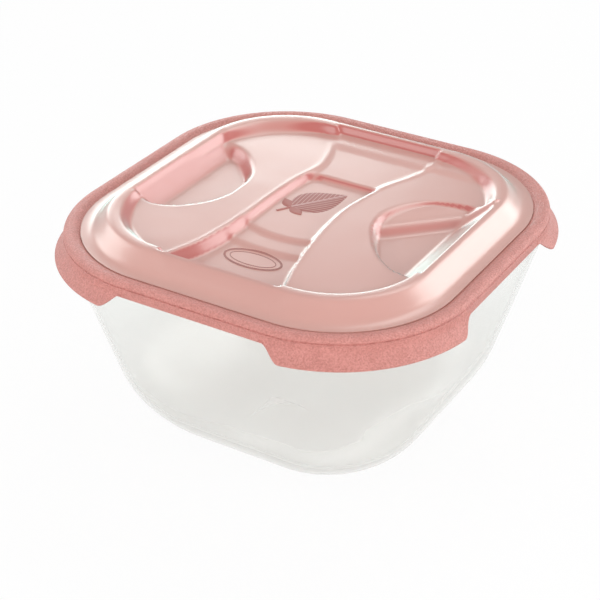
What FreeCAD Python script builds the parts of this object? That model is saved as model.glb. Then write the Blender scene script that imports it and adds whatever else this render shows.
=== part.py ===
import FreeCAD, Part
import math
import os

# Snap lid food container: a clear square bowl with a translucent lid.
# Millimetres, +Z up, origin at the centre of the underside of the bowl.
# The front is -Y.  Heights named "..._below_rim" are measured down from the top of the lid's rim.

# Overall sizes
LID_WIDTH = 200.0               # across the lid's outer band, both ways
CORNER_RADIUS = 65.0            # of the lid's outer band in plan
RIM_TOP = 114.5                 # height of the top of the lid's rim above the table

# Lid rim: an inverted channel that sits over the lip of the bowl
SKIRT_WALL = 1.2
SKIRT_DEPTH = 5.6               # bottom edge of the skirt below the rim's top
BEAD_WIDTH = 3.5                # flat and round of the top bead
BEAD_DROP = 2.4                 # height of the bead's outer round
RIM_ROOF = 2.2                  # thickness of the channel's roof
RIM_WIDTH = 8.4                 # from the outer face to the edge of the window
RIM_EDGE_DROP = 1.5             # the rim's inner slope falls by this
PLUG_WALL = 1.2                 # inner wall of the channel, inside the bowl
PLUG_DEPTH = 7.5

# Lid window
SHEET = 1.2                     # wall of the window
CREST_HALF = 81.5               # half width of the raised crest's outer edge
CREST_RISE = 6.7                # crest above the rim's top
RECESS_HALF = 78.0              # half width of the recess inside the crest
WING_RISE = 2.0                 # wing floors above the rim's top
BAND_HALF_END = 31.0            # centre band, half width at its two ends
BAND_HALF_WAIST = 19.0          # and at its waist
BAND_STEPS = [                  # centre band, from the back: (where each level starts, its rise)
    (RECESS_HALF, 1.4),
    (27.0, -0.6),
    (-35.0, -2.6),
]
WELL_LENGTH = 84.0              # straight side of each finger well
WELL_REACH = 43.0               # from that side to the well's innermost point
WELL_RISE = -3.5                # well floors, against the rim's top
BADGE_LONG = 29.0               # blank oval badge
BADGE_SHORT = 14.0
BADGE_LINE = 1.0                # width of its raised line
BADGE_HEIGHT = 0.5
BADGE_Y = -52.0

# Corner tabs
TAB_GAP = 0.3                   # below the skirt
TAB_DEPTH = 7.2                 # height of a tab
TAB_FLARE = 4.7                 # the tab's lower edge stands out by this
TAB_WALL = 1.2
TAB_END_SLOPE = 10.0            # each end runs in by this much at the bottom
BEAD_GRIP = 0.5                 # snap bead on the inside of a tab
BEAD_TALL = 1.6

# Bowl
BOWL_WALL = 1.2
LIP_OUT = 0.5                   # lip round the mouth, outside the wall
LIP_TALL = 2.0
MOUTH_BAND = 9.85               # upright band under the mouth
WALL_DRAFT = 16.0               # degrees, below that band
BASE_FILLET = 61.5              # radius between the wall and the base
FLAT_BASE_SINK = 0.6            # the fillet is cut off flat this far above its lowest point
BASE_HALF = 21.6                # half width where the fillet would touch down
BASE_CORNER = 20.0              # corner radius there

# Clearances between the lid and the bowl
SIDE_CLEARANCE = 0.3            # lip to skirt
PLUG_CLEARANCE = 0.4            # plug wall to bowl wall
SEAT_CLEARANCE = 0.3            # mouth to channel roof

LID_HALF = LID_WIDTH / 2
CORNER_CENTRE = LID_HALF - CORNER_RADIUS
SKIRT_INNER = LID_HALF - SKIRT_WALL
BOWL_HALF = SKIRT_INNER - SIDE_CLEARANCE - LIP_OUT - BEAD_GRIP
BOWL_TOP = RIM_TOP - RIM_ROOF - SEAT_CLEARANCE
PLUG_OUTER = BOWL_HALF - BOWL_WALL - PLUG_CLEARANCE
WINDOW_HALF = LID_HALF - RIM_WIDTH

os.makedirs("parts", exist_ok=True)


def save(name, shape):
    """Write one sub-part."""
    shape.exportStep("parts/" + name + ".step")


def vec(x, y, z):
    return FreeCAD.Vector(x, y, z)


def rounded_square(half, radius, z):
    """Closed wire: a square of half width `half` with round corners."""
    c = half - radius
    d = radius * math.sqrt(0.5)
    edges = []
    for quarter in range(4):
        turn = FreeCAD.Rotation(vec(0, 0, 1), 90 * quarter)
        side_start = turn.multVec(vec(half, -c, z))
        side_end = turn.multVec(vec(half, c, z))
        middle = turn.multVec(vec(c + d, c + d, z))
        corner_end = turn.multVec(vec(c, half, z))
        edges.append(Part.LineSegment(side_start, side_end).toShape())
        edges.append(Part.Arc(side_end, middle, corner_end).toShape())
    return Part.Wire(edges)


def prism(wire, z_low, z_high):
    """Solid between two heights over a wire drawn at z = 0."""
    face = Part.Face(wire)
    face.translate(vec(0, 0, z_low))
    return face.extrude(vec(0, 0, z_high - z_low))


def profile_face(points):
    """Face in the plane y = CORNER_CENTRE, from (half width, z) points."""
    corners = [vec(half, CORNER_CENTRE, z) for half, z in points]
    return Part.Face(Part.makePolygon(corners + [corners[0]]))


def corner_sweep(face):
    """The face turned through one corner of the lid."""
    return face.revolve(vec(CORNER_CENTRE, CORNER_CENTRE, 0), vec(0, 0, 1), 90)


def turned(shape, quarter):
    """A copy turned by quarter turns about the middle of the lid."""
    copy = shape.copy()
    copy.rotate(vec(0, 0, 0), vec(0, 0, 1), 90 * quarter)
    return copy


def ring(points):
    """A profile carried all the way round the rounded square."""
    face = profile_face(points)
    side = face.copy()
    side.translate(vec(0, -2 * CORNER_CENTRE, 0))
    quarter = corner_sweep(face).fuse(side.extrude(vec(0, 2 * CORNER_CENTRE, 0)))
    whole = turned(quarter, 0).fuse([turned(quarter, n) for n in (1, 2, 3)])
    return whole.removeSplitter()


def bowl_profile(offset):
    """(half width, corner radius, z) of the bowl's face, moved inwards by `offset`."""
    draft = math.radians(WALL_DRAFT)
    fillet = BASE_FILLET - offset
    centre_z = BASE_FILLET - FLAT_BASE_SINK
    tangent_half = BOWL_HALF - wall_run() * math.tan(draft)
    centre_half = tangent_half - BASE_FILLET * math.cos(draft)
    rows = []
    taper_top = BOWL_TOP - MOUTH_BAND
    low = centre_z - fillet * math.sin(draft)
    low_half = centre_half + fillet * math.cos(draft)
    wall_steps = 4
    for step in range(wall_steps):
        z = taper_top + (low - taper_top) * step / wall_steps
        half = low_half + (z - low) * math.tan(draft)
        rows.append((half, corner_at(half + offset) - offset, z))
    arc_steps = 7
    floor_z = max(0.0, offset)
    lowest = math.asin((centre_z - floor_z) / fillet)
    for step in range(arc_steps + 1):
        angle = draft + (lowest - draft) * step / arc_steps
        z = centre_z - fillet * math.sin(angle)
        half = centre_half + fillet * math.cos(angle)
        rows.append((half, corner_at(half + offset) - offset, z))
    return rows


def wall_run():
    """Height of the sloping wall, from the upright band down to the fillet."""
    draft = math.radians(WALL_DRAFT)
    tangent_z = BASE_FILLET - FLAT_BASE_SINK - BASE_FILLET * math.sin(draft)
    return BOWL_TOP - MOUTH_BAND - tangent_z


def corner_at(half):
    """Corner radius of the bowl's outer face where its half width is `half`."""
    top_radius = BOWL_HALF - CORNER_CENTRE
    share = (half - BASE_HALF) / (BOWL_HALF - BASE_HALF)
    return BASE_CORNER + (top_radius - BASE_CORNER) * max(share, 0.0) ** 1.35


def bowl_solid(offset, top):
    """Filled bowl, its face moved inwards by `offset` and its mouth raised to `top`."""
    rows = bowl_profile(offset)
    wires = [rounded_square(half, radius, z) for half, radius, z in rows]
    body = Part.makeLoft(wires, True, False)
    first_half, first_radius, first_z = rows[0]
    band = prism(rounded_square(first_half, first_radius, 0), first_z, top)
    return body.fuse(band)


def make_tub():
    """The bowl with its lip."""
    tub = bowl_solid(0.0, BOWL_TOP)
    lip_half = BOWL_HALF + LIP_OUT
    lip = prism(rounded_square(lip_half, lip_half - CORNER_CENTRE, 0), BOWL_TOP - LIP_TALL, BOWL_TOP)
    tub = tub.fuse(lip)
    hollow = bowl_solid(BOWL_WALL, BOWL_TOP + 1)
    return tub.cut(hollow).removeSplitter()


def make_lid_rim():
    """Outer skirt, roof and plug wall as one ring."""
    z = RIM_TOP
    points = [
        (LID_HALF, z - SKIRT_DEPTH),
        (LID_HALF, z - BEAD_DROP),
        (LID_HALF - 0.3 * BEAD_DROP, z - 0.3 * BEAD_DROP),
        (LID_HALF - BEAD_DROP, z),
        (LID_HALF - BEAD_WIDTH, z),
        (WINDOW_HALF, z - RIM_EDGE_DROP),
        (WINDOW_HALF, z - RIM_EDGE_DROP - SHEET),
        (PLUG_OUTER - PLUG_WALL, z - RIM_EDGE_DROP - SHEET),
        (PLUG_OUTER - PLUG_WALL, z - PLUG_DEPTH),
        (PLUG_OUTER, z - PLUG_DEPTH),
        (PLUG_OUTER, z - RIM_ROOF),
        (SKIRT_INNER, z - RIM_ROOF),
        (SKIRT_INNER, z - SKIRT_DEPTH),
    ]
    return ring(points)


def band_outline():
    """Hourglass of the centre band, front to back."""
    front_left = vec(-BAND_HALF_END, -RECESS_HALF, 0)
    front_right = vec(BAND_HALF_END, -RECESS_HALF, 0)
    back_right = vec(BAND_HALF_END, RECESS_HALF, 0)
    back_left = vec(-BAND_HALF_END, RECESS_HALF, 0)
    return Part.Wire([
        Part.LineSegment(front_left, front_right).toShape(),
        Part.Arc(front_right, vec(BAND_HALF_WAIST, 0, 0), back_right).toShape(),
        Part.LineSegment(back_right, back_left).toShape(),
        Part.Arc(back_left, vec(-BAND_HALF_WAIST, 0, 0), front_left).toShape(),
    ])


def well_outline():
    """D shape of the right finger well."""
    front = vec(RECESS_HALF, -WELL_LENGTH / 2, 0)
    back = vec(RECESS_HALF, WELL_LENGTH / 2, 0)
    inner = vec(RECESS_HALF - WELL_REACH, 0, 0)
    return Part.Wire([
        Part.LineSegment(front, back).toShape(),
        Part.Arc(back, inner, front).toShape(),
    ])


def sink_tray(panel, outline, floor, brim, back_end=LID_HALF):
    """Sink a thin-walled tray into the panel: its floor at `floor`, its mouth at `brim`.

    Only the part of the outline in front of y = `back_end` is sunk.
    """
    height = 2 * RIM_TOP
    inner_limit = Part.makeBox(LID_WIDTH, LID_HALF + back_end, height, vec(-LID_HALF, -LID_HALF, 0))
    outer_limit = Part.makeBox(
        LID_WIDTH, LID_HALF + back_end + SHEET, height, vec(-LID_HALF, -LID_HALF, 0))
    outer = prism(outline.makeOffset2D(SHEET), floor - SHEET, brim).common(outer_limit)
    hollow = prism(outline, floor, brim).common(inner_limit)
    return panel.cut(outer).fuse(outer.cut(hollow))


def oval(long, short, z):
    """Ellipse face on the centre band."""
    curve = Part.Ellipse(vec(0, BADGE_Y, z), long / 2, short / 2)
    return Part.Face(Part.Wire(curve.toShape()))


def make_lid_panel():
    """Window of the lid: apron, crest, wings, stepped centre band, wells and blank badge."""
    edge_z = RIM_TOP - RIM_EDGE_DROP
    crest_z = RIM_TOP + CREST_RISE
    low_wire = rounded_square(WINDOW_HALF, WINDOW_HALF - CORNER_CENTRE, edge_z)
    high_wire = rounded_square(CREST_HALF, CREST_HALF - CORNER_CENTRE, crest_z)
    dome = Part.makeLoft([low_wire, high_wire], True, True)
    under_low = rounded_square(WINDOW_HALF, WINDOW_HALF - CORNER_CENTRE, edge_z - SHEET)
    under_high = rounded_square(CREST_HALF, CREST_HALF - CORNER_CENTRE, crest_z - SHEET)
    under = Part.makeLoft([under_low, under_high], True, True)
    rim_step = prism(rounded_square(WINDOW_HALF, WINDOW_HALF - CORNER_CENTRE, 0), edge_z - SHEET, edge_z)
    panel = dome.fuse(rim_step).cut(under)
    wing = RIM_TOP + WING_RISE
    recess = rounded_square(RECESS_HALF, RECESS_HALF - CORNER_CENTRE, 0)
    panel = sink_tray(panel, recess, wing, crest_z)
    brim = wing
    for back_end, rise in BAND_STEPS:
        panel = sink_tray(panel, band_outline(), RIM_TOP + rise, brim, back_end)
        brim = RIM_TOP + rise
    right_well = well_outline()
    left_well = right_well.copy()
    left_well.rotate(vec(0, 0, 0), vec(0, 0, 1), 180)
    panel = sink_tray(panel, right_well, RIM_TOP + WELL_RISE, wing)
    panel = sink_tray(panel, left_well, RIM_TOP + WELL_RISE, wing)
    badge_z = RIM_TOP + BAND_STEPS[-1][1]
    badge = oval(BADGE_LONG, BADGE_SHORT, badge_z).extrude(vec(0, 0, BADGE_HEIGHT))
    inside = oval(BADGE_LONG - 2 * BADGE_LINE, BADGE_SHORT - 2 * BADGE_LINE, badge_z)
    badge = badge.cut(inside.extrude(vec(0, 0, BADGE_HEIGHT)))
    return panel.fuse(badge).removeSplitter()


def make_corner_tab():
    """Tab of the back right corner, with sloping ends and a snap bead inside."""
    top = RIM_TOP - SKIRT_DEPTH - TAB_GAP
    bottom = top - TAB_DEPTH
    face_out = [(0.0, 0.0), (0.06, 0.2), (0.45, 0.62), (1.0, 1.0)]
    outer = [(LID_HALF + TAB_FLARE * out, top - TAB_DEPTH * down) for out, down in face_out]
    inner = [(half - TAB_WALL, z) for half, z in outer]
    bead_z = top - BEAD_TALL
    bead = [(inner[0][0], bead_z + BEAD_TALL / 2), (inner[0][0] - BEAD_GRIP, bead_z)]
    points = outer + list(reversed(inner[1:])) + list(reversed(bead)) + [inner[0]]
    tab = corner_sweep(profile_face(points))
    reach = 4 * TAB_FLARE
    for end in (0, 1):
        wedge = Part.Face(Part.makePolygon([
            vec(LID_HALF - reach, CORNER_CENTRE - 1, top - TAB_END_SLOPE * 0.08),
            vec(LID_HALF - reach, CORNER_CENTRE - 1, bottom - 1),
            vec(LID_HALF - reach, CORNER_CENTRE + TAB_END_SLOPE, bottom - 1),
            vec(LID_HALF - reach, CORNER_CENTRE + TAB_END_SLOPE * 0.8, bottom + TAB_DEPTH * 0.15),
            vec(LID_HALF - reach, CORNER_CENTRE + TAB_END_SLOPE * 0.2, top - TAB_DEPTH * 0.55),
            vec(LID_HALF - reach, CORNER_CENTRE - 1, top - TAB_END_SLOPE * 0.08),
        ])).extrude(vec(2 * reach, 0, 0))
        if end:
            wedge = wedge.mirror(vec(0, 0, 0), vec(1, -1, 0))
        tab = tab.cut(wedge)
    return tab


save("tub", make_tub())
save("lid_rim", make_lid_rim())
save("lid_panel", make_lid_panel())
corner_tab = make_corner_tab()
corner_names = ["back_right", "back_left", "front_left", "front_right"]
for quarter, corner in enumerate(corner_names):
    save("corner_tab_" + corner, turned(corner_tab, quarter))
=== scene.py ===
import math

import bmesh
import bpy
import numpy as np
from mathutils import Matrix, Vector


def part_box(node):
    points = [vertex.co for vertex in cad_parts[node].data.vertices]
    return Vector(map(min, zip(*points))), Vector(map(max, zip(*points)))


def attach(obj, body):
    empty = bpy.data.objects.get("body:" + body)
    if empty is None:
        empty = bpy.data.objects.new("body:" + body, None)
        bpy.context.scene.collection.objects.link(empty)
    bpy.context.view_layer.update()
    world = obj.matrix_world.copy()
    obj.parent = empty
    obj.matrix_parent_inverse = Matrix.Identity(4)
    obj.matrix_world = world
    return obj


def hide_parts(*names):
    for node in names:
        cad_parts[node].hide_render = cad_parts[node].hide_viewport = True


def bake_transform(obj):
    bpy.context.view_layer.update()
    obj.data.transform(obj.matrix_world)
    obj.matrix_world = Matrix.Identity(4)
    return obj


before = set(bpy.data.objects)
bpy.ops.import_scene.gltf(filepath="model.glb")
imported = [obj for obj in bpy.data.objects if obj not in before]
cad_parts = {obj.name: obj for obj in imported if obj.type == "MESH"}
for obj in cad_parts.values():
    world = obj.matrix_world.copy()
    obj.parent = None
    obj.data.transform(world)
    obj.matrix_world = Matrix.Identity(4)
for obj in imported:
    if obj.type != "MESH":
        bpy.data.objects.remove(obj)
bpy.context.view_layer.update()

bl_info = {
    "name": "Snap lid food container",
    "version": (1, 0, 0),
    "blender": (4, 5, 0),
    "location": "View3D > Sidebar > Container",
    "description": "Clear bowl and translucent snap lid, built round the packed frame",
    "category": "Object",
}

MM = 0.001

# Places that come from the frame, in millimetres
LID_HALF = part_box("lid_rim")[1].x / MM
RIM_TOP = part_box("lid_rim")[1].z / MM
SKIRT_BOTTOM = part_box("lid_rim")[0].z / MM
WINDOW_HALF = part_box("lid_panel")[1].x / MM
GUTTER_HALF = WINDOW_HALF + 0.4
CREST_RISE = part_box("lid_panel")[1].z / MM - RIM_TOP
BOWL_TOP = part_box("tub")[1].z / MM
BOWL_LIP_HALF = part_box("tub")[1].x / MM
TAB_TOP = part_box("corner_tab_back_right")[1].z / MM
TAB_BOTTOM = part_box("corner_tab_back_right")[0].z / MM
CORNER_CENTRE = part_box("corner_tab_back_right")[0].x / MM
CORNERS = ("back_right", "back_left", "front_left", "front_right")

# Sizes of the shapes between those places, in millimetres
BASE_HALF = 21.6
BASE_CORNER = 20.0
BASE_SINK = 0.6
BASE_MARK = (-12.9, -7.7)
LIP_OUT = 0.5
BOWL_WALL = 1.2
LIP_EDGE = 0.35
SKIRT_WALL = 1.2
PLUG_WALL = 1.2
PLUG_GAP = 0.4
PLUG_DEPTH = 7.5
BEAD_HALF_WIDTH = 3.1
BEAD_TALL = 2.2
TAB_SEAM_DROP = 3.55
FLARE_POWER = 1.6


# ---------------------------------------------------------------- settings

def length(name, description, value):
    """A size in metres, given here in millimetres."""
    return bpy.props.FloatProperty(
        name=name, description=description, default=value * MM, subtype="DISTANCE", unit="LENGTH")


def tint(name, description, value):
    """A colour in linear light."""
    return bpy.props.FloatVectorProperty(
        name=name, description=description, default=value, size=3, min=0, max=1, subtype="COLOR")


class BowlSettings(bpy.types.PropertyGroup):
    """Sizes and colours of the bowl."""
    wall: length("Wall", "Thickness of the bowl's wall", BOWL_WALL)
    lip_tall: length("Lip height", "Height of the lip round the mouth", 2.0)
    lip_out: length("Lip", "How far the lip stands out from the wall", LIP_OUT)
    mouth_band: length("Mouth band", "Upright stretch under the mouth", 9.85)
    base_fillet: length("Base radius", "Radius between wall and base", 61.5)
    draft: bpy.props.FloatProperty(
        name="Draft", description="Slope of the wall from upright",
        default=math.radians(16), subtype="ANGLE", unit="ROTATION")
    clear: tint("Clear tint", "What one face of the wall lets through", (0.988, 0.992, 0.986))
    milk: tint("Milky body", "Colour of the faint haze in the plastic", (0.80, 0.815, 0.785))


class LidSettings(bpy.types.PropertyGroup):
    """Sizes and colours of the lid."""
    sheet: length("Sheet", "Thickness of the window", 1.0)
    wing_rise: length("Wing height", "Wing floors above the rim's top", 2.0)
    tab_wall: length("Tab wall", "Thickness of a corner tab", 1.2)
    tab_flare: length("Tab flare", "How far a tab's lower edge stands out", 4.6)
    tab_run: length("Tab end slope", "Length of the S shaped end of a tab", 10.5)
    grained: tint("Grained plastic", "Colour of the rim and tabs", (0.560, 0.206, 0.174))
    window_body: tint("Window body", "Colour of the window's plastic on the flat", (0.700, 0.375, 0.328))
    # Painted shade: a darker colour put on the window's steep walls whichever way the light falls, not the
    # plastic's own colour
    window_wall_shade: tint("Window wall shade", "Painted shade on the window's steep walls", (0.50, 0.125, 0.108))
    window_clear: tint("Window tint", "What one face of the window lets through", (0.975, 0.82, 0.78))


class StageSettings(bpy.types.PropertyGroup):
    """Camera, lights and floor."""
    azimuth: bpy.props.FloatProperty(
        name="Azimuth", description="Camera direction round the object",
        default=math.radians(30.67), subtype="ANGLE", unit="ROTATION")
    elevation: bpy.props.FloatProperty(
        name="Elevation", description="Camera height above the horizon",
        default=math.radians(27.76), subtype="ANGLE", unit="ROTATION")
    distance: length("Distance", "Camera to the middle of the lid", 750.1)
    lens: bpy.props.FloatProperty(
        name="Lens", description="Focal length on a 36 mm sensor", default=96.63, unit="CAMERA")
    floor_colour: tint("Floor", "Colour of the floor", (0.93, 0.93, 0.93))


# ---------------------------------------------------------------- modelling helpers

def deselect():
    """Leave edit mode with nothing selected."""
    if bpy.context.mode != "OBJECT":
        bpy.ops.object.mode_set(mode="OBJECT")
    bpy.ops.object.select_all(action="DESELECT")


def name_piece(name):
    """Name the piece that was just added."""
    piece = bpy.context.object
    piece.name = name
    piece.data.name = name
    return piece


def place_selected(move):
    """Move each selected vertex of the mesh in edit mode to move(position), in millimetres."""
    mesh = bmesh.from_edit_mesh(bpy.context.object.data)
    for vertex in mesh.verts:
        if vertex.select:
            vertex.co = Vector(move(vertex.co / MM)) * MM
    bmesh.update_edit_mesh(bpy.context.object.data)


def select_where(test):
    """Select the vertices whose position in millimetres passes the test."""
    mesh = bmesh.from_edit_mesh(bpy.context.object.data)
    mesh.select_mode = {"VERT"}
    for vertex in mesh.verts:
        vertex.select = bool(test(vertex.co / MM))
    mesh.select_flush_mode()
    bmesh.update_edit_mesh(bpy.context.object.data)


def trace(name, points, closed=True):
    """Draw a line by extruding one vertex from point to point, in millimetres."""
    deselect()
    bpy.ops.mesh.primitive_plane_add(size=2 * MM)
    piece = name_piece(name)
    bpy.ops.object.mode_set(mode="EDIT")
    bpy.ops.mesh.select_mode(type="VERT")
    bpy.ops.mesh.merge(type="CENTER")
    bpy.ops.transform.translate(value=Vector(points[0]) * MM)
    for before, after in zip(points, points[1:]):
        step = (Vector(after) - Vector(before)) * MM
        bpy.ops.mesh.extrude_region_move(TRANSFORM_OT_translate={"value": step})
    bpy.ops.mesh.select_all(action="SELECT")
    if closed:
        ends = [Vector(points[0]), Vector(points[-1])]
        select_where(lambda at: min((at - end).length for end in ends) < 1e-3)
        bpy.ops.mesh.edge_face_add()
        bpy.ops.mesh.select_all(action="SELECT")
    return piece


def quarter_turn(x, y, quarter):
    """A point turned by quarter turns about the middle of the lid."""
    for _ in range(quarter):
        x, y = -y, x
    return x, y


def spin_corner(quarter, steps):
    """Spin the selected profile through one corner of the lid, anticlockwise from above."""
    x, y = quarter_turn(CORNER_CENTRE, CORNER_CENTRE, quarter)
    bpy.ops.mesh.spin(
        steps=steps, angle=-math.pi / 2, center=(x * MM, y * MM, 0), axis=(0, 0, 1))


def close_up(smooth_angle=40):
    """Merge doubles, point the faces outwards and shade smooth up to an angle in degrees."""
    bpy.ops.mesh.select_all(action="SELECT")
    bpy.ops.mesh.remove_doubles(threshold=0.002 * MM)
    bpy.ops.mesh.normals_make_consistent(inside=False)
    bpy.ops.object.mode_set(mode="OBJECT")
    bpy.ops.object.shade_smooth_by_angle(angle=math.radians(smooth_angle))


def thicken(piece, thickness):
    """Turn an open sheet's faces upwards and give it its thickness downwards."""
    bpy.ops.object.mode_set(mode="EDIT")
    bpy.ops.mesh.select_all(action="SELECT")
    bpy.ops.mesh.normals_make_consistent(inside=False)
    bpy.ops.object.mode_set(mode="OBJECT")
    if sum(face.normal.z for face in piece.data.polygons) < 0:
        piece.data.flip_normals()
    solid = piece.modifiers.new("Sheet", "SOLIDIFY")
    solid.thickness = thickness
    solid.offset = -1
    bpy.ops.object.modifier_apply(modifier=solid.name)


def arc_points(centre, radius, start, end, steps):
    """Points of an arc in (half width, z), angles in degrees."""
    rows = []
    for step in range(steps + 1):
        angle = math.radians(start + (end - start) * step / steps)
        rows.append((centre[0] + radius * math.cos(angle), centre[1] + radius * math.sin(angle)))
    return rows


def hand_over(piece, body, slot, material, *nodes):
    """Finish a piece: material, body and the frame's nodes that it stands for; slot is not used."""
    piece.data.materials.clear()
    piece.data.materials.append(material)
    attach(piece, body)
    if nodes:
        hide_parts(*nodes)


# ---------------------------------------------------------------- materials

class Wire:
    """An output socket that can be used in sums."""

    def __init__(self, shop, socket):
        self.shop = shop
        self.socket = socket

    def _math(self, operation, first, second):
        return self.shop.node("ShaderNodeMath", {"operation": operation}, {0: first, 1: second})

    def __add__(self, other):
        return self._math("ADD", self, other)

    def __sub__(self, other):
        return self._math("SUBTRACT", self, other)

    def __rsub__(self, other):
        return self._math("SUBTRACT", other, self)

    def __mul__(self, other):
        return self._math("MULTIPLY", self, other)

    def __pow__(self, other):
        return self._math("POWER", self, other)

    def __abs__(self):
        return self.shop.node("ShaderNodeMath", {"operation": "ABSOLUTE"}, {0: self})

    def fraction(self):
        return self.shop.node("ShaderNodeMath", {"operation": "FRACT"}, {0: self})

    def smaller(self, other):
        return self._math("MINIMUM", self, other)

    def larger(self, other):
        return self._math("MAXIMUM", self, other)


class MaterialShop:
    """Makes one material's nodes."""

    def __init__(self, name):
        self.material = bpy.data.materials.new(name)
        self.material.use_nodes = True
        self.tree = self.material.node_tree
        self.tree.nodes.clear()

    def node(self, kind, settings=None, inputs=None, output=0):
        """Add a node, set its settings first, then its sockets' values or links."""
        made = self.tree.nodes.new(kind)
        for key, value in (settings or {}).items():
            setattr(made, key, value)
        for key, value in (inputs or {}).items():
            if isinstance(value, Wire):
                self.tree.links.new(value.socket, made.inputs[key])
            else:
                made.inputs[key].default_value = value
        return Wire(self, made.outputs[output])

    def place(self):
        """Object coordinates."""
        return self.node("ShaderNodeTexCoord", output="Object")

    def noise(self, scale, detail=2.0, roughness=0.5):
        return self.node("ShaderNodeTexNoise", {}, {
            "Vector": self.place(), "Scale": scale, "Detail": detail, "Roughness": roughness})

    def blend(self, factor, first, second):
        """Mix two colours."""
        mixed = self.node("ShaderNodeMix", {"data_type": "RGBA"}, {0: factor, 6: first, 7: second}, 2)
        return mixed

    def ramp(self, factor, low, high):
        """0 below `low`, 1 above `high`, smooth between."""
        return self.node("ShaderNodeMapRange", {"interpolation_type": "SMOOTHSTEP"}, {
            "Value": factor, "From Min": low, "From Max": high})

    def facing(self, normal):
        """0 where a face looks at the viewer, 1 where it is seen edge on, the same on both sides."""
        return self.node("ShaderNodeLayerWeight", {}, {"Blend": 0.5, "Normal": normal}, "Facing")

    def reflectance(self, normal):
        """How much a face of the plastic reflects, the same from inside and outside."""
        return self.facing(normal) ** 5.0 * 0.96 + 0.04

    def bump(self, height, distance, strength=1.0):
        return self.node("ShaderNodeBump", {}, {
            "Height": height, "Distance": distance, "Strength": strength})

    def mix_shaders(self, factor, first, second):
        return self.node("ShaderNodeMixShader", {}, {0: factor, 1: first, 2: second})

    def done(self, surface):
        output = self.tree.nodes.new("ShaderNodeOutputMaterial")
        self.tree.links.new(surface.socket, output.inputs["Surface"])
        return self.material


def colour(values):
    return (values[0], values[1], values[2], 1.0)


def grained_plastic(settings):
    """Spark grained coral plastic of the rim and tabs, its pale grain speckles lifted into painted glints.
    """
    shop = MaterialShop("lid_grained")
    grain = shop.noise(1250.0, 2.0, 0.6)
    cloud = shop.noise(160.0, 2.0, 0.5)
    deep = [0.88 * value for value in settings.grained]
    # Pale speckles: the grain's own lighter tone, lifted further as painted glints standing in for its
    # sparkle
    pale_grain_glint = [min(1.0, 1.10 * value + 0.05) for value in settings.grained]
    shade = shop.blend(shop.ramp(grain * 0.8 + cloud * 0.2, 0.32, 0.68), colour(deep), colour(pale_grain_glint))
    rough = shop.ramp(cloud, 0.3, 0.7) * 0.10 + 0.42
    body = shop.node("ShaderNodeBsdfPrincipled", {}, {
        "Base Color": shade,
        "Roughness": rough,
        "IOR": 1.49,
        "Subsurface Weight": 0.0,
        "Normal": shop.bump(grain, 0.0007, 1.0),
    })
    return shop.done(body)


def window_plastic(settings):
    """Polished translucent coral plastic, with painted shade on its steep walls, and deeper where it is seen
    edge on.
    """
    shop = MaterialShop("lid_window")
    waves = shop.noise(38.0, 1.0, 0.4)
    ripple = shop.bump(waves, 0.0005, 0.5)
    facing = shop.facing(ripple)
    # Painted shade: on steep walls the darker wall colour is blended in, whatever the light
    steep = shop.node("ShaderNodeAttribute", {"attribute_name": "steep"}, output="Fac")
    body = shop.node("ShaderNodeBsdfPrincipled", {}, {
        "Base Color": shop.blend(steep, colour(settings.window_body), colour(settings.window_wall_shade)),
        "Roughness": 0.30,
        "IOR": 1.49,
        "Normal": ripple,
    })
    clear = shop.node("ShaderNodeBsdfTransparent", {}, {"Color": colour(settings.window_clear)})
    # Painted shade: steep walls also get more of the opaque body, so less shows through them
    on_flat, edge_on, wall_shade_cover = 0.78, 0.22, 0.35
    share = facing ** 3.0 * edge_on + steep * wall_shade_cover + on_flat
    sheet = shop.mix_shaders(share.smaller(1.0), clear, body)
    gloss = shop.node("ShaderNodeBsdfGlossy", {}, {
        "Color": (0.76, 1.0, 0.97, 1.0), "Roughness": 0.27, "Normal": ripple})
    return shop.done(shop.mix_shaders(shop.reflectance(ripple), sheet, gloss))


def leaf_plastic(settings, veined=True, alpha=0.85):
    """Deeper coral of the raised emblems, the leaf with fine veins."""
    shop = MaterialShop("leaf_plastic" if veined else "badge_plastic")
    deep = [0.74 * value for value in settings.grained]
    shade = colour([0.82 * value for value in settings.grained])
    if veined:
        apart = shop.node("ShaderNodeVectorMath", {"operation": "SUBTRACT"}, {
            0: shop.place(), 1: (LEAF_CENTRE[0] * MM, LEAF_CENTRE[1] * MM, 0)})
        cos, sin = math.cos(LEAF_TURN) / MM, math.sin(LEAF_TURN) / MM
        along = shop.node("ShaderNodeVectorMath", {"operation": "DOT_PRODUCT"}, {
            0: apart, 1: (cos, sin, 0)}, "Value")
        across = shop.node("ShaderNodeVectorMath", {"operation": "DOT_PRODUCT"}, {
            0: apart, 1: (-sin, cos, 0)}, "Value")
        away = abs(across)
        ribs = abs(((along - away * 1.15) * 0.36 + 20).fraction() - 0.5)
        vein = 1 - shop.ramp(ribs, 0.03, 0.16)
        midrib = 1 - shop.ramp(away, 0.3, 0.8)
        shade = shop.blend(vein.larger(midrib), colour(deep), colour([
            0.7 * value + 0.22 for value in settings.grained]))
    body = shop.node("ShaderNodeBsdfPrincipled", {}, {
        "Base Color": shade,
        "Roughness": 0.5,
        "IOR": 1.49,
        "Alpha": alpha,
    })
    return shop.done(body)


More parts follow.
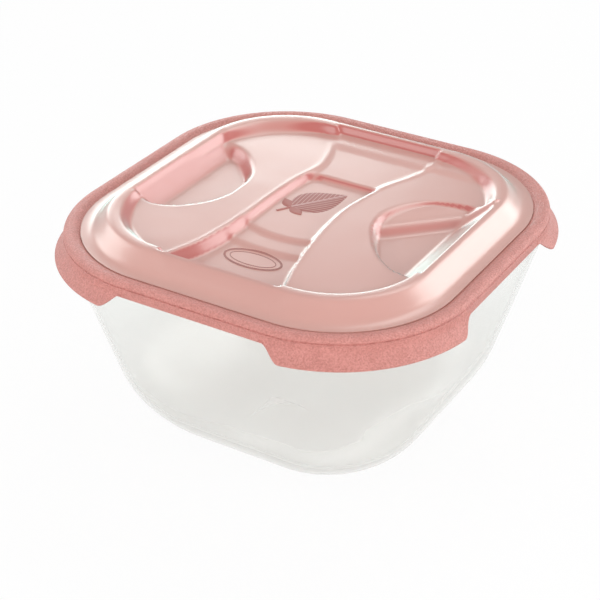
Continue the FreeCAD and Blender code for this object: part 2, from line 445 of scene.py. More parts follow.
def bowl_plastic(settings):
    """Clear polypropylene with a faint milky haze, thickened towards the bottom as painted shade."""
    shop = MaterialShop("bowl_plastic")
    haze = shop.noise(26.0, 2.0, 0.5)
    ripple = shop.bump(haze, 0.0006, 0.4)
    facing = shop.facing(ripple)
    body = shop.node("ShaderNodeBsdfPrincipled", {}, {
        "Base Color": colour(settings.milk),
        "Roughness": 0.35,
        "IOR": 1.49,
        "Normal": ripple,
    })
    clear = shop.node("ShaderNodeBsdfTransparent", {}, {"Color": colour(settings.clear)})
    height = shop.node("ShaderNodeSeparateXYZ", {}, {0: shop.place()}, "Z")
    # Painted shade: below 75 mm the grey haze covers more of the sheet, so the bowl is darker towards the
    # bottom whatever the light
    low = 1 - shop.ramp(height, 0.0, 0.075)
    cover = shop.ramp(haze, 0.2, 0.8) * 0.015 + facing ** 4.0 * 0.16 + low * 0.24 + 0.010
    sheet = shop.mix_shaders(cover, clear, body)
    gloss = shop.node("ShaderNodeBsdfGlossy", {}, {
        "Color": (1, 1, 1, 1), "Roughness": 0.30, "Normal": ripple})
    return shop.done(shop.mix_shaders(shop.reflectance(ripple) * 0.28, sheet, gloss))


# ---------------------------------------------------------------- the bowl

def ring_places(half, radius, corner_steps=28, side_steps=4):
    """Points of a rounded square ring, anticlockwise, in millimetres."""
    radius = min(radius, half)
    flat = half - radius
    places = []
    for quarter in range(4):
        for step in range(side_steps):
            along = -flat + 2 * flat * step / side_steps
            places.append(quarter_turn(half, along, quarter))
        for step in range(corner_steps):
            angle = math.pi / 2 * step / corner_steps
            corner = (flat + radius * math.cos(angle), flat + radius * math.sin(angle))
            places.append(quarter_turn(*corner, quarter))
    return places


def set_ring(half, radius, z):
    """Put the selected ring of vertices on a rounded square."""
    mesh = bmesh.from_edit_mesh(bpy.context.object.data)
    chosen = [vertex for vertex in mesh.verts if vertex.select]
    chosen.sort(key=lambda vertex: math.atan2(vertex.co.y, vertex.co.x))
    places = sorted(ring_places(half, radius), key=lambda place: math.atan2(place[1], place[0]))
    for vertex, (x, y) in zip(chosen, places):
        vertex.co = Vector((x, y, z)) * MM
    bmesh.update_edit_mesh(bpy.context.object.data)


class BowlShape:
    """Profile of the bowl in millimetres: half width, corner radius and height of each ring."""

    def __init__(self, settings):
        self.wall = settings.wall / MM
        self.draft = settings.draft
        self.fillet = settings.base_fillet / MM
        self.half = BOWL_LIP_HALF - settings.lip_out / MM
        self.lip = settings.lip_out / MM
        self.lip_tall = settings.lip_tall / MM
        self.taper_top = BOWL_TOP - settings.mouth_band / MM
        self.centre_z = self.fillet - BASE_SINK
        tangent_z = self.centre_z - self.fillet * math.sin(self.draft)
        tangent_half = self.half - (self.taper_top - tangent_z) * math.tan(self.draft)
        self.centre_half = tangent_half - self.fillet * math.cos(self.draft)

    def radius(self, half):
        """Corner radius where the outer face has this half width."""
        share = max(0.0, (half - BASE_HALF) / (self.half - BASE_HALF))
        return BASE_CORNER + (self.half - CORNER_CENTRE - BASE_CORNER) * share ** 1.35

    def row(self, half, z, inset):
        return half, self.radius(half + inset) - inset, z

    def wall_rows(self, inset):
        """Rings from the base up to the mouth band, on the face `inset` from the outside."""
        fillet = self.fillet - inset
        lowest = math.asin((self.centre_z - inset) / fillet)
        rows = []
        arc_steps = 26
        for step in range(arc_steps + 1):
            angle = lowest + (self.draft - lowest) * step / arc_steps
            half = self.centre_half + fillet * math.cos(angle)
            rows.append(self.row(half, self.centre_z - fillet * math.sin(angle), inset))
        low_half, _, low_z = rows[-1]
        for step in range(1, 7):
            z = low_z + (self.taper_top - low_z) * step / 6
            rows.append(self.row(low_half + (z - low_z) * math.tan(self.draft), z, inset))
        return rows

    def rows(self):
        """All rings from under the base, up the outside, over the lip and down the inside."""
        outer = self.wall_rows(0.0)
        inner = self.wall_rows(self.wall)
        edge = LIP_EDGE
        lip_half = self.half + self.lip
        low = BOWL_TOP - self.lip_tall
        mouth = self.half - self.wall
        # a small shallow square under the base
        under = [
            (9.2, 2.6, 0.8),
            (9.8, 3.0, 0.5),
            (10.2, 3.3, 0.1),
            (10.8, 3.7, 0.0),
        ]
        top = [
            self.row(self.half, self.taper_top + 1.2, 0.0),
            self.row(self.half, low - 0.4, 0.0),
            self.row(lip_half - 0.1, low, 0.0),
            self.row(lip_half, low + edge, 0.0),
            self.row(lip_half, BOWL_TOP - edge, 0.0),
            self.row(lip_half - edge, BOWL_TOP, 0.0),
            self.row(mouth + edge, BOWL_TOP, self.wall),
            self.row(mouth, BOWL_TOP - edge, self.wall),
            self.row(mouth, self.taper_top + 1.2, self.wall),
        ]
        return under + outer + top + list(reversed(inner))


class CONTAINER_OT_bowl(bpy.types.Operator):
    """Model the clear bowl ring by ring, from under its base to its inner floor"""
    bl_idname = "container.bowl"
    bl_label = "Bowl"

    def execute(self, context):
        settings = context.scene.container_bowl
        rows = BowlShape(settings).rows()
        deselect()
        bpy.ops.mesh.primitive_circle_add(vertices=len(ring_places(1, 0.5)), radius=rows[0][0] * MM)
        piece = name_piece("bowl_shell")
        bpy.ops.object.mode_set(mode="EDIT")
        bpy.ops.mesh.select_all(action="SELECT")
        set_ring(*rows[0])
        bpy.ops.mesh.edge_face_add()
        bpy.ops.mesh.select_mode(type="VERT")
        for row in rows[1:]:
            bpy.ops.mesh.extrude_region_move(
                MESH_OT_extrude_region={"use_normal_flip": False},
                TRANSFORM_OT_translate={"value": (0, 0, MM)})
            set_ring(*row)
        # the small moulded square stands off the middle of the base
        select_where(lambda at: max(abs(at.x), abs(at.y)) < 11 and at.z < 1)
        bpy.ops.transform.translate(value=(BASE_MARK[0] * MM, BASE_MARK[1] * MM, 0))
        close_up(30)
        hand_over(piece, "bowl", "bowl_plastic", bowl_plastic(settings), "tub")
        return {"FINISHED"}


# ---------------------------------------------------------------- the lid's rim

def rim_profile():
    """Section of the rim, (half width, z) in millimetres, anticlockwise."""
    top = RIM_TOP
    bottom = SKIRT_BOTTOM
    inner_skirt = LID_HALF - SKIRT_WALL
    plug_outer = BOWL_LIP_HALF - LIP_OUT - BOWL_WALL - PLUG_GAP
    plug_inner = plug_outer - PLUG_WALL
    plug_bottom = top - PLUG_DEPTH
    face = LID_HALF - 0.15
    # skirt, from its inner edge round the bottom and up the outer face
    rows = [(inner_skirt, bottom + 0.3), (inner_skirt + 0.3, bottom), (face - 0.35, bottom)]
    rows += [(face - 0.1, bottom + 0.1), (face, bottom + 0.35), (face, top - 3.75)]
    # fine ridge with a groove above it
    rows += [(face + 0.10, top - 3.5), (face + 0.28, top - 3.35), (face + 0.33, top - 3.15)]
    rows += [(face + 0.22, top - 2.95), (face - 0.2, top - 2.8), (face - 0.42, top - 2.6)]
    rows += [(face - 0.25, top - 2.4), (face, top - 2.25)]
    # rounded bead and its inner slope
    for step in range(1, 13):
        angle = math.radians(7.5 * step)
        rows.append((LID_HALF - 0.1 - BEAD_HALF_WIDTH * (1 - math.cos(angle)),
                     top - BEAD_TALL * (1 - math.sin(angle))))
    for inwards, down in ((4.4, 0.08), (5.4, 0.34), (6.2, 0.78), (6.85, 1.26), (7.4, 1.68)):
        rows.append((LID_HALF - inwards, top - down))
    # gutter, then the plug and the roof over the bowl's lip
    rows += [(GUTTER_HALF + 0.05, top - 1.96), (GUTTER_HALF + 0.05, top - 2.9)]
    rows += [(plug_inner, top - 3.0), (plug_inner, plug_bottom + 0.2), (plug_inner + 0.2, plug_bottom)]
    rows += [(plug_outer - 0.4, plug_bottom), (plug_outer, plug_bottom + 0.5)]
    rows += [(plug_outer, top - 2.45), (inner_skirt, top - 2.45)]
    return rows


class CONTAINER_OT_rim(bpy.types.Operator):
    """Model the lid's rim by carrying its section round the four sides and corners"""
    bl_idname = "container.rim"
    bl_label = "Lid rim"

    def execute(self, context):
        settings = context.scene.container_lid
        points = [(half, -CORNER_CENTRE, z) for half, z in rim_profile()]
        piece = trace("lid_frame", points)
        for quarter in range(4):
            run = quarter_turn(0, 2 * CORNER_CENTRE * MM, quarter)
            bpy.ops.mesh.extrude_region_move(TRANSFORM_OT_translate={"value": (run[0], run[1], 0)})
            spin_corner(quarter, 36)
        close_up(35)
        hand_over(piece, "lid", "lid_grained", grained_plastic(settings), "lid_rim")
        return {"FINISHED"}


# ---------------------------------------------------------------- corner tabs

def tab_profile(settings):
    """Section of a tab at its full depth, (half width, z) in millimetres."""
    wall = settings.tab_wall / MM
    flare = settings.tab_flare / MM
    tall = TAB_TOP - TAB_BOTTOM - wall / 2
    face = LID_HALF - 0.08
    outer = [(face, RIM_TOP - TAB_SEAM_DROP), (face, RIM_TOP - 4.7)]
    for step in range(15):
        down = step / 14
        outer.append((face + flare * down ** FLARE_POWER, TAB_TOP - tall * down))
    edge_half, edge_z = outer[-1]
    edge = arc_points((edge_half - wall / 2, edge_z), wall / 2, -15, -165, 6)
    inner = [(half - wall, z) for half, z in reversed(outer)]
    return outer + edge + inner


class CONTAINER_OT_tabs(bpy.types.Operator):
    """Model the four corner tabs: a flared section spun through each corner, with S shaped ends"""
    bl_idname = "container.tabs"
    bl_label = "Corner tabs"

    def execute(self, context):
        settings = context.scene.container_lid
        material = grained_plastic(settings)
        profile = tab_profile(settings)
        for quarter, corner in enumerate(CORNERS):
            points = []
            for half, z in profile:
                points.append((*quarter_turn(half, CORNER_CENTRE, quarter), z))
            piece = trace("tab_" + corner, points)
            spin_corner(quarter, 90)
            bpy.ops.mesh.edge_face_add()
            centre = Vector((*quarter_turn(CORNER_CENTRE, CORNER_CENTRE, quarter), 0))
            start = Vector((*quarter_turn(1, 0, quarter), 0))
            across = Vector((*quarter_turn(0, 1, quarter), 0))
            select_where(lambda at: abs((at - centre).dot(across)) < 1e-3)
            bpy.ops.mesh.edge_face_add()
            bpy.ops.mesh.select_all(action="SELECT")
            run = settings.tab_run / MM

            def shape_end(at):
                """Pull the end of the tab up along an S."""
                flat = Vector((at.x, at.y, 0)) - centre
                angle = math.atan2(flat.dot(across), flat.dot(start))
                near = (min(angle, math.pi / 2 - angle) * (LID_HALF - CORNER_CENTRE)) / run
                near = min(max(near, 0.0), 1.0)
                share = 0.04 + 0.96 * near * near * (3 - 2 * near)
                if at.z > TAB_TOP:
                    return at
                z = TAB_TOP - (TAB_TOP - at.z) * share
                down = (TAB_TOP - at.z) / (TAB_TOP - TAB_BOTTOM)
                flare = settings.tab_flare / MM * (down ** FLARE_POWER - (down * share) ** FLARE_POWER)
                out = flat.normalized()
                moved = centre + flat - out * flare
                return moved.x, moved.y, z

            place_selected(shape_end)
            close_up(40)
            piece.data.materials.clear()
            piece.data.materials.append(material)
            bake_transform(piece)
            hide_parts("corner_tab_" + corner)
        return {"FINISHED"}


# ---------------------------------------------------------------- the lid's window

def ease(value):
    """Smooth step from 0 to 1."""
    value = np.clip(value, 0.0, 1.0)
    return value * value * (3 - 2 * value)


def square_measure(x, y):
    """Half width of the rounded square, concentric with the rim, that passes through a point."""
    qx = np.abs(x) - CORNER_CENTRE
    qy = np.abs(y) - CORNER_CENTRE
    outside = np.hypot(np.maximum(qx, 0), np.maximum(qy, 0))
    return CORNER_CENTRE + outside + np.minimum(np.maximum(qx, qy), 0)


def smooth_line(points, steps=10, closed=False):
    """Smooth curve through a few points."""
    points = np.array(points, float)
    count = len(points)
    places = []
    spans = count if closed else count - 1
    for span in range(spans):
        indices = [span - 1, span, span + 1, span + 2]
        if closed:
            indices = [index % count for index in indices]
        else:
            indices = [min(max(index, 0), count - 1) for index in indices]
        a, b, c, d = points[indices]
        for step in range(steps):
            t = step / steps
            places.append(0.5 * (2 * b + (c - a) * t + (2 * a - 5 * b + 4 * c - d) * t * t
                                 + (3 * b - a - 3 * c + d) * t ** 3))
    if not closed:
        places.append(points[-1])
    return np.array(places)


def inside_distance(x, y, outline):
    """Distance to a closed outline, positive inside."""
    nearest = np.full(x.shape, 1e9)
    inside = np.zeros(x.shape, bool)
    for (ax, ay), (bx, by) in zip(outline, np.roll(outline, -1, axis=0)):
        dx, dy = bx - ax, by - ay
        span = max(dx * dx + dy * dy, 1e-12)
        t = np.clip(((x - ax) * dx + (y - ay) * dy) / span, 0, 1)
        nearest = np.minimum(nearest, np.hypot(x - ax - t * dx, y - ay - t * dy))
        if dy:
            crosses = (ay > y) != (by > y)
            inside ^= crosses & (x < ax + (y - ay) / dy * dx)
    return np.where(inside, nearest, -nearest)


# Side lines of the centre band, from front to back (millimetres)
BAND_RIGHT = [(31, -79), (28, -68), (23.5, -54), (19.5, -36), (16.5, -16), (15.3, 0), (16, 14),
              (20, 34), (26, 49), (29.5, 62), (29, 80)]
BAND_LEFT = [(-34, -79), (-29.5, -67), (-25.5, -56), (-23, -41), (-21.3, -21), (-21, -1), (-20, 19),
             (-17.5, 38), (-20.5, 52), (-26, 66), (-31, 80)]
# The D of each finger well, closed by a straight side next to the crest
RIGHT_WELL = [(67, -34.5), (61, -33), (54, -28.5), (46, -21), (39, -11.5), (34, -1.4), (32.2, 9), (35, 19),
              (40, 27), (47, 33), (57, 36.6), (66, 38.2), (71.5, 40.3), (76.2, 43.8)]
LEFT_WELL = [(-76.5, 43.6), (-73.5, 42.3), (-68, 38.6), (-58, 34.6), (-50, 28.6), (-43, 19.6), (-39.5, 10.6),
             (-38.2, -1.4), (-39.2, -11.4), (-43.5, -21.4), (-53, -31.5), (-63, -35.5), (-70, -35)]
WELL_STRAIGHT = 76.6
WELL_SLOPE_START = 64.0
WELL_SIDE_RISE = 9.6
RIGHT_WELL_FLOOR = -3.6
LEFT_WELL_FLOOR = -3.0
BAND_FLOOR_DROP = 4.6
CREST_INSIDE = 74.6
CREST_MIDDLE = 77.0
RECESS_END = 75.5
# Half width and height above the rim's top of the apron's corner points
APRON = ((71.0, 77.0, 79.2, 80.0, 85.6, 87.4, 89.8), (6.25, 6.6, 6.3, 5.8, 0.1, -0.9, -1.35))
APRON_ROUNDING = (-0.8, -0.4, 0.0, 0.4, 0.8)


def band_measure(x, y):
    """Distance inside the centre band from its left and its right side line."""
    right = smooth_line(BAND_RIGHT)
    left = smooth_line(BAND_LEFT)
    right_x = np.interp(y, right[:, 1], right[:, 0])
    left_x = np.interp(y, left[:, 1], left[:, 0])
    return x - left_x, right_x - x


def well_outline(points, side):
    """Closed outline of a finger well, `side` being 1 on the right and -1 on the left."""
    straight = WELL_STRAIGHT * side
    curve = smooth_line(points)
    if side > 0:
        ends = np.array([[straight, curve[-1][1]], [straight, curve[0][1] - 1.5]])
    else:
        ends = np.array([[straight, curve[-1][1] - 1.0], [straight, curve[0][1]]])
    return np.vstack([curve, ends])


def side_slope(out):
    """Rise of a finger well's floor up a slope to its straight side."""
    run = WELL_STRAIGHT - WELL_SLOPE_START
    return WELL_SIDE_RISE * np.clip((out - WELL_SLOPE_START) / run, 0, 1) ** 1.15


def apron_height(measure):
    """Narrow shoulder outside the crest, a steep slope, then a gentle one down to the gutter."""
    height = 0.0
    for offset in APRON_ROUNDING:
        height = height + np.interp(measure + offset, *APRON) / len(APRON_ROUNDING)
    return height


def wing_height(x, y, wing_rise):
    """A shallow dome with a low step at its back."""
    return wing_rise + 0.5 * (1 - (y / 70) ** 2) + 0.8 * ease((y - 59) / 6) * ease((x - 20) / 6)


def wing_cove(x, y):
    """Width of the curve from a wing up to the crest: wider in the corners, widest at the back left."""
    corner = ease((np.abs(x) - 30) / 25) * ease((np.abs(y) - 30) / 25)
    wide = ease((y - x) / 60 + 0.15)
    return 3.0 + 3.5 * corner + 3.5 * wide * corner


def band_height(x, y, wing_rise):
    """Stepped floors of the centre band, each a little higher than the one in front of it."""
    floor = wing_rise - BAND_FLOOR_DROP
    floor = floor + 1.0 * ease((y + 43.5 - 0.006 * x * x) / 4.5)
    floor = floor + 1.1 * ease((y + 31 - 0.012 * x * x) / 4)
    riser = 1.6 + 4.5 * ease((-10.5 - x) / 4)
    floor = floor + 2.3 * ease((y - 30.5 + riser * 0.8) / riser)
    return floor + 0.7 * ease((y - 58) / 7)


def right_well_height(x, y):
    """Floor of the right finger well: two levels with a diagonal slope between them."""
    beyond = (-(x - 54) + (y - 11)) * math.sqrt(0.5)
    floor = RIGHT_WELL_FLOOR + 3.4 * ease(beyond / 8) + 1.3 * ease((beyond - 6) / 14)
    return floor + side_slope(x)


def window_height(x, y, wing_rise):
    """Height of the window's upper face against the rim's top, in millimetres."""
    measure = square_measure(x, y)
    outside = apron_height(measure)
    wing = wing_height(x, y, wing_rise)
    height = wing + (outside - wing) * (1 - ease((CREST_INSIDE - measure) / wing_cove(x, y)))

    # centre band between two side lines, each with a low ridge along it
    from_left, from_right = band_measure(x, y)
    band = band_height(x, y, wing_rise)
    band = band + (outside - band) * (1 - ease((CREST_MIDDLE - np.abs(y)) / 2.6))
    left_run = 4.4 + 1.6 * ease((-y - 15) / 30)
    share = ease((from_left + 0.4) / left_run) * ease((from_right + 0.6) / 3.0)
    ridge = 0.25 * np.exp(-((from_left - 0.2) / 1.5) ** 2)
    ridge = ridge + 0.25 * np.exp(-((from_right - 0.2) / 1.5) ** 2)
    height = height + (band - height) * share * (np.abs(y) < 84)
    height = height + ridge * ease((RECESS_END - np.abs(y)) / 3)

    # finger wells
    right = inside_distance(x, y, well_outline(RIGHT_WELL, 1))
    wall = 2.2 + 1.6 * ease((50 - x) / 12)
    height = height + (right_well_height(x, y) - height) * ease((right + 0.3) / wall)
    left = inside_distance(x, y, well_outline(LEFT_WELL, -1))
    cove = 3.2 + 5.0 * ease((y - 5) / 20)
    floor = LEFT_WELL_FLOOR + side_slope(-x)
    return height + (floor - height) * ease((left + 0.3) / cove)


def window_steepness(x, y, wing_rise):
    """Mask of the painted shade on the window's walls: 0 on the flats, 1 on the steep walls inside the
    crest.
    """
    reach = 0.35
    rise_x = window_height(x + reach, y, wing_rise) - window_height(x - reach, y, wing_rise)
    rise_y = window_height(x, y + reach, wing_rise) - window_height(x, y - reach, wing_rise)
    slope = np.hypot(rise_x, rise_y) / (2 * reach)
    return ease((slope - 0.28) / 0.62) * ease((78.0 - square_measure(x, y)) / 1.5)


def window_rings():
    """Half widths of the rings of the window's grid, closer together at the crest's wall."""
    inner = np.linspace(0, 66, 60)
    wall = np.linspace(66, 84, 32)[1:]
    apron = np.linspace(84, GUTTER_HALF, 12)[1:]
    return np.concatenate([inner, wall, apron])


class CONTAINER_OT_window(bpy.types.Operator):
    """Model the lid's window: a fine grid pulled to the relief, then given its thickness"""
    bl_idname = "container.window"
    bl_label = "Lid window"

    def execute(self, context):
        settings = context.scene.container_lid
        rings = window_rings()
        count = len(rings) - 1
        deselect()
        bpy.ops.mesh.primitive_grid_add(
            x_subdivisions=2 * count, y_subdivisions=2 * count, size=2)
        piece = name_piece("lid_window")
        mesh = piece.data
        flat = np.empty(len(mesh.vertices) * 3)
        mesh.vertices.foreach_get("co", flat)
        flat = flat.reshape(-1, 3)
        x, y = self.spread(flat[:, 0], flat[:, 1], rings, count)
        wing_rise = settings.wing_rise / MM
        z = RIM_TOP + window_height(x, y, wing_rise)
        mesh.vertices.foreach_set("co", (np.stack([x, y, z], 1) * MM).ravel())
        mesh.update()
        # Mask of the painted shade on the window's steep walls, handed to the material as an attribute
        steep = window_steepness(x, y, wing_rise)
        mesh.attributes.new("steep", "FLOAT", "POINT").data.foreach_set("value", steep)
        thicken(piece, settings.sheet)
        bpy.ops.object.shade_smooth_by_angle(angle=math.radians(60))
        hand_over(piece, "lid", "lid_window", window_plastic(settings), "lid_panel")
        return {"FINISHED"}

    @staticmethod
    def spread(u, v, rings, count):
        """Carry a square grid over to rounded squares that share the rim's corner centres."""
        level = np.maximum(np.abs(u), np.abs(v))
        half = np.interp(level * count, np.arange(count + 1), rings)
        radius = np.clip(half - CORNER_CENTRE, 0, None)
        flat = half - radius
        turn = np.floor((np.arctan2(v, u) + math.pi / 4) / (math.pi / 2) + 1e-9).astype(int) % 4
        cos, sin = np.array([1, 0, -1, 0])[turn], np.array([0, 1, 0, -1])[turn]
        across = -sin * u + cos * v
        share = np.divide(across, level, out=np.zeros_like(level), where=level > 1e-9)
        reach = flat + radius * math.pi / 4
        along = share * reach
        bend = np.clip(np.abs(along) - flat, 0, None)
        angle = np.divide(bend, radius, out=np.zeros_like(bend), where=radius > 1e-9)
        sign = np.sign(along)
        side = sign * (np.minimum(np.abs(along), flat) + radius * np.sin(angle))
        out = flat + radius * np.cos(angle)
        return cos * out - sin * side, sin * out + cos * side


# ---------------------------------------------------------------- leaf and badge

LEAF_CENTRE = (-0.9, 10.2)
LEAF_TURN = math.radians(54)
LEAF_HALF_LONG = 14.5
LEAFLET_LONG = 9.0
STALK_LONG = 7.5
STALK_HALF_WIDTH = 0.7
BLADE_RISE = 0.45
BLADE_SHEET = 0.3
BADGE_CENTRE = (0.0, -49.5)
BADGE_RING = 10.0
# Name, long half axis, short half axis and width of each line of the badge
BADGE_LINES = (("badge_line", 14.3, 7.1, 1.0), ("badge_inner", 11.6, 4.9, 0.45))


def rest_on_window(piece, wing_rise):
    """Lower a flat piece on to the window, so that each point keeps its height above it."""
    count = len(piece.data.vertices)
    places = np.empty(count * 3)
    piece.data.vertices.foreach_get("co", places)
    places = places.reshape(-1, 3) / MM
    places[:, 2] += RIM_TOP + window_height(places[:, 0], places[:, 1], wing_rise)
    piece.data.vertices.foreach_set("co", (places * MM).ravel())
    piece.data.update()


def leaf_half_width(along):
    """Half width of the leaf, `along` running from 0 at its stalk to 1 at its tip."""
    return 11.2 * math.sin(math.pi * along ** 0.80) ** 0.85 * (1.0 - 0.22 * along)


def leaflet_half_width(along):
    """Half width of a leaflet."""
    return 2.8 * math.sin(math.pi * along ** 0.9) ** 0.8


def raised_blade(name, base, turn, long, half_width):
    """A domed blade that starts at `base` and runs `long` in the direction `turn`."""
    rows, columns = 40, 12
    deselect()
    bpy.ops.mesh.primitive_grid_add(x_subdivisions=rows, y_subdivisions=columns, size=2 * MM)
    piece = name_piece(name)
    bpy.ops.object.mode_set(mode="EDIT")
    bpy.ops.mesh.select_all(action="SELECT")
    cos, sin = math.cos(turn), math.sin(turn)

    def to_blade(at):
        """Carry the square grid over to the blade."""
        along = min(max((at.x + 1) / 2, 0.004), 0.996)
        wide = half_width(along)
        u, v = along * long, at.y * wide
        rise = BLADE_RISE * (1 - at.y ** 4)
        return base[0] + cos * u - sin * v, base[1] + sin * u + cos * v, rise

    place_selected(to_blade)
    thicken(piece, BLADE_SHEET * MM)
    bpy.ops.object.mode_set(mode="EDIT")
    return piece


class CONTAINER_OT_emblem(bpy.types.Operator):
    """Model the raised veined leaf with its two leaflets, and the blank oval badge"""
    bl_idname = "container.emblem"
    bl_label = "Leaf and badge"

    def execute(self, context):
        settings = context.scene.container_lid
        wing_rise = settings.wing_rise / MM
        stalk = (LEAF_CENTRE[0] - math.cos(LEAF_TURN) * LEAF_HALF_LONG,
                 LEAF_CENTRE[1] - math.sin(LEAF_TURN) * LEAF_HALF_LONG)
        blades = (
            ("leaf_emblem", LEAF_TURN, 2 * LEAF_HALF_LONG, leaf_half_width),
            ("leaflet_left", math.radians(140), LEAFLET_LONG, leaflet_half_width),
            ("leaflet_right", math.radians(-28), LEAFLET_LONG, leaflet_half_width),
            ("leaf_stalk", math.radians(238), STALK_LONG, lambda along: STALK_HALF_WIDTH),
        )
        for name, turn, long, half_width in blades:
            piece = raised_blade(name, stalk, turn, long, half_width)
            close_up(50)
            rest_on_window(piece, wing_rise)
            hand_over(piece, "lid", "lid_window", leaf_plastic(settings, name == "leaf_emblem"))

        for name, long_half, short_half, line in BADGE_LINES:
            deselect()
            bpy.ops.mesh.primitive_torus_add(
                major_segments=96, minor_segments=10,
                major_radius=BADGE_RING * MM, minor_radius=0.5 * line * MM)
            badge = name_piece(name)
            bpy.ops.object.mode_set(mode="EDIT")
            bpy.ops.mesh.select_all(action="SELECT")

            def to_oval(at):
                """Carry the round ring over to the oval, keeping its line's width."""
                away = math.hypot(at.x, at.y)
                cos, sin = at.x / away, at.y / away
                width = away - BADGE_RING
                return (BADGE_CENTRE[0] + (long_half + width) * cos,
                        BADGE_CENTRE[1] + (short_half + width) * sin, at.z)

            place_selected(to_oval)
            close_up(60)
            rest_on_window(badge, wing_rise)
            hand_over(badge, "lid", "lid_window", leaf_plastic(settings, False, 0.5))
        return {"FINISHED"}


# ---------------------------------------------------------------- stage

# Name, bearing from straight behind (to the right positive), height (degrees), width and
# tallness (metres), radiance, and whether it lights matt surfaces or only shows in glossy ones
SOFT_BOXES = (
    ("rear_left_card", -44, 14, (1.00, 0.60), 4.2, False),
    ("rear_right_card", 36, 24, (1.15, 1.00), 5.2, False),
    ("left_card", -95, 25, (0.90, 0.80), 4.2, False),
    ("top_box", 5, 55, (0.90, 0.50), 3.0, True),
    ("left_fill", -145, 22, (0.90, 0.70), 2.5, True),
    ("right_fill", 92, 18, (0.90, 0.70), 4.0, True),
    ("front_fill", 165, 18, (1.60, 0.80), 1.7, True),
)
SOFT_BOX_DISTANCE = 1.5
WORLD_STRENGTH = 0.62
FLOOR_DROP = 0.3
FLOOR_GLOW = 0.93
CAMERA_PAN = 0.007
CAMERA_TILT = 0.056


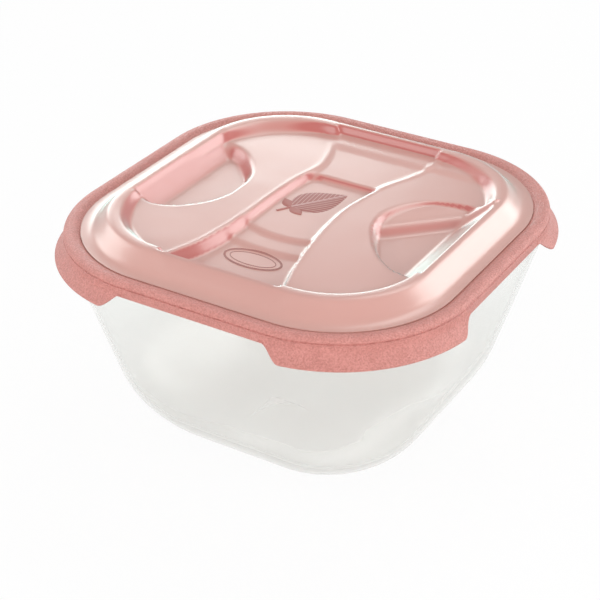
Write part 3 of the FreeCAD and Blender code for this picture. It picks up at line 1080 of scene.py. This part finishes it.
class CONTAINER_OT_stage(bpy.types.Operator):
    """Set the floor, the soft boxes, the world and the camera"""
    bl_idname = "container.stage"
    bl_label = "Stage"

    def execute(self, context):
        settings = context.scene.container_stage
        self.floor(settings)
        self.world()
        target = Vector((0, 0, RIM_TOP * MM))
        for soft_box in SOFT_BOXES:
            self.softbox(target, *soft_box)
        self.camera(settings, target)
        context.scene.view_settings.view_transform = "Standard"
        return {"FINISHED"}

    @staticmethod
    def floor(settings):
        deselect()
        bpy.ops.mesh.primitive_plane_add(size=12, location=(0, 0, -FLOOR_DROP * MM))
        floor = name_piece("floor")
        shop = MaterialShop("floor")
        path = [shop.node("ShaderNodeLightPath", output=ray)
                for ray in ("Is Camera Ray", "Is Glossy Ray", "Is Transmission Ray")]
        seen = shop.node("ShaderNodeMath", {"operation": "MAXIMUM"}, {0: path[0], 1: path[1]})
        seen = shop.node("ShaderNodeMath", {"operation": "MAXIMUM"}, {0: seen, 1: path[2]})
        paint = shop.node("ShaderNodeBsdfDiffuse", {}, {"Color": colour(settings.floor_colour)})
        glow = shop.node("ShaderNodeEmission", {}, {"Color": (1, 1, 1, 1), "Strength": 1.0})
        floor.data.materials.append(shop.done(shop.mix_shaders(seen * FLOOR_GLOW, paint, glow)))

    @staticmethod
    def world():
        world = bpy.data.worlds.new("studio")
        bpy.context.scene.world = world
        world.use_nodes = True
        tree = world.node_tree
        tree.nodes.clear()
        path = tree.nodes.new("ShaderNodeLightPath")
        lit = tree.nodes.new("ShaderNodeBackground")
        lit.inputs["Color"].default_value = (1, 1, 1, 1)
        lit.inputs["Strength"].default_value = WORLD_STRENGTH
        seen = tree.nodes.new("ShaderNodeBackground")
        seen.inputs["Color"].default_value = (1, 1, 1, 1)
        seen.inputs["Strength"].default_value = 1.0
        mix = tree.nodes.new("ShaderNodeMixShader")
        output = tree.nodes.new("ShaderNodeOutputWorld")
        tree.links.new(path.outputs["Is Camera Ray"], mix.inputs[0])
        tree.links.new(lit.outputs[0], mix.inputs[1])
        tree.links.new(seen.outputs[0], mix.inputs[2])
        tree.links.new(mix.outputs[0], output.inputs["Surface"])

    @staticmethod
    def softbox(target, name, bearing, height, size, radiance, lights_matt):
        """A rectangular soft box that faces the lid, given by the direction it is seen in."""
        bearing, height = math.radians(bearing), math.radians(height)
        place = target + SOFT_BOX_DISTANCE * Vector((
            math.sin(bearing) * math.cos(height), math.cos(bearing) * math.cos(height), math.sin(height)))
        deselect()
        bpy.ops.object.light_add(type="AREA", location=place)
        lamp = bpy.context.object
        lamp.name = name
        lamp.data.shape = "RECTANGLE"
        lamp.data.size, lamp.data.size_y = size
        lamp.data.energy = radiance * math.pi * size[0] * size[1]
        lamp.visible_diffuse = lights_matt
        lamp.rotation_euler = (Vector(place) - target).to_track_quat("Z", "Y").to_euler()

    @staticmethod
    def camera(settings, target):
        azimuth, elevation = settings.azimuth, settings.elevation
        away = Vector((
            math.sin(azimuth) * math.cos(elevation),
            -math.cos(azimuth) * math.cos(elevation),
            math.sin(elevation)))
        azimuth, elevation = azimuth + CAMERA_PAN, elevation + CAMERA_TILT
        back = Vector((
            math.sin(azimuth) * math.cos(elevation),
            -math.cos(azimuth) * math.cos(elevation),
            math.sin(elevation)))
        deselect()
        bpy.ops.object.camera_add(location=target + away * settings.distance)
        camera = bpy.context.object
        camera.name = "camera"
        camera.rotation_euler = (-back).to_track_quat("-Z", "Y").to_euler()
        camera.data.lens = settings.lens
        camera.data.sensor_width = 36
        camera.data.clip_end = 50
        bpy.context.scene.camera = camera


# ---------------------------------------------------------------- panel and registration

class CONTAINER_PT_panel(bpy.types.Panel):
    """Lists the steps that build the container"""
    bl_label = "Container"
    bl_idname = "CONTAINER_PT_panel"
    bl_space_type = "VIEW_3D"
    bl_region_type = "UI"
    bl_category = "Container"

    def draw(self, context):
        for group in (context.scene.container_bowl, context.scene.container_lid,
                      context.scene.container_stage):
            box = self.layout.box()
            for key in group.__annotations__:
                box.prop(group, key)
        for operator in OPERATORS:
            self.layout.operator(operator.bl_idname)


OPERATORS = (
    CONTAINER_OT_bowl,
    CONTAINER_OT_rim,
    CONTAINER_OT_tabs,
    CONTAINER_OT_window,
    CONTAINER_OT_emblem,
    CONTAINER_OT_stage,
)
GROUPS = (BowlSettings, LidSettings, StageSettings)


def register():
    for group in GROUPS + OPERATORS + (CONTAINER_PT_panel,):
        bpy.utils.register_class(group)
    bpy.types.Scene.container_bowl = bpy.props.PointerProperty(type=BowlSettings)
    bpy.types.Scene.container_lid = bpy.props.PointerProperty(type=LidSettings)
    bpy.types.Scene.container_stage = bpy.props.PointerProperty(type=StageSettings)


def unregister():
    del bpy.types.Scene.container_stage
    del bpy.types.Scene.container_lid
    del bpy.types.Scene.container_bowl
    for group in reversed(GROUPS + OPERATORS + (CONTAINER_PT_panel,)):
        bpy.utils.unregister_class(group)


def main():
    register()
    bpy.ops.container.bowl()
    bpy.ops.container.rim()
    bpy.ops.container.tabs()
    bpy.ops.container.window()
    bpy.ops.container.emblem()
    bpy.ops.container.stage()


if __name__ == "__main__":
    main()
